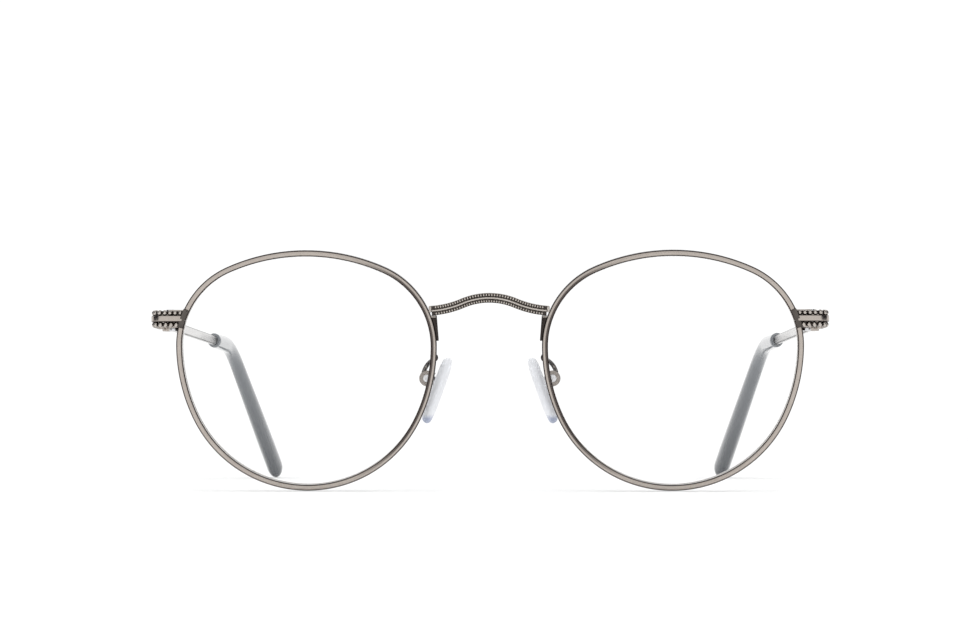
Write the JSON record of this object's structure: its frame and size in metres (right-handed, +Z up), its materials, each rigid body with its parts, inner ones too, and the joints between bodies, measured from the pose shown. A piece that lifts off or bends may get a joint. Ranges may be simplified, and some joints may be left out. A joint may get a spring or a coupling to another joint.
{
  "type": "round wire eyeglasses",
  "caption": "Round metal wire eyeglasses with a saddle bridge, beaded end pieces, clear adjustable nose pads and folding temples with smoke-grey tips.",
  "frame": {"origin": "middle of the frame from side to side and from front to back, on the plane it stands on: the lowest points of the rims and the ends of the temple tips", "axes": "+Z up, -Y towards the front of the lenses, +Y back along the open temples, +X towards the wearer's left"},
  "size_m": [0.1356, 0.1419, 0.048],
  "materials": {
    "pewter": "satin brushed pewter-coloured plating with a fine engraved hatch on the rims",
    "dark_pewter": "darkened pewter-coloured plating, polished on the raised parts",
    "screw_steel": "bright turned steel",
    "clear_lens": "clear polished",
    "clear_silicone": "clear soft gloss",
    "smoke_acetate": "polished, smoke grey"
  },
  "bodies": {
    "front": {"bridge": "dark_pewter", "rim_right": "pewter", "rim_left": "pewter", "lens_right": "clear_lens", "lens_left": "clear_lens", "bridge_foot_right": "dark_pewter", "bridge_foot_left": "dark_pewter", "end_plate_right": "dark_pewter", "end_plate_left": "dark_pewter", "end_bar_right": "pewter", "end_bar_left": "pewter", "upper_bead_wire_right": "dark_pewter", "upper_bead_wire_left": "dark_pewter", "lower_bead_wire_right": "dark_pewter", "lower_bead_wire_left": "dark_pewter", "closing_block_upper_right": "pewter", "closing_block_upper_left": "pewter", "closing_block_lower_right": "pewter", "closing_block_lower_left": "pewter", "rim_screw_right": "screw_steel", "rim_screw_left": "screw_steel", "hinge_front_right": "pewter", "hinge_front_left": "pewter", "hinge_screw_right": "screw_steel", "hinge_screw_left": "screw_steel", "pad_arm_right": "pewter", "pad_arm_left": "pewter", "pad_box_right": "pewter", "pad_box_left": "pewter", "pad_screw_right": "screw_steel", "pad_screw_left": "screw_steel"},
    "temple_right": {"hinge_tongue_right": "pewter", "temple_bar_right": "pewter", "temple_tip_right": "smoke_acetate"},
    "pad_right": {"nose_pad_right": "clear_silicone", "pad_insert_right": "screw_steel"},
    "temple_left": {"hinge_tongue_left": "pewter", "temple_bar_left": "pewter", "temple_tip_left": "smoke_acetate"},
    "pad_left": {"nose_pad_left": "clear_silicone", "pad_insert_left": "screw_steel"}
  },
  "joints": [
    {"name": "temple_right_fold", "type": "hinge", "parent": "front", "child": "temple_right", "pos_m": [-0.06496, -0.05914, 0.03416], "axis": [0, 0, -1], "range_deg": [0, 87]},
    {"name": "temple_left_fold", "type": "hinge", "parent": "front", "child": "temple_left", "pos_m": [0.06496, -0.05914, 0.03416], "axis": [0, 0, 1], "range_deg": [0, 80]},
    {"name": "pad_right_rock", "type": "hinge", "parent": "front", "child": "pad_right", "pos_m": [-0.0126, -0.06038, 0.02258], "axis": [0.0523, 0.9986, 0], "range_deg": [-10, 10]},
    {"name": "pad_left_rock", "type": "hinge", "parent": "front", "child": "pad_left", "pos_m": [0.0126, -0.06038, 0.02258], "axis": [-0.0523, 0.9986, 0], "range_deg": [-10, 10]}
  ]
}
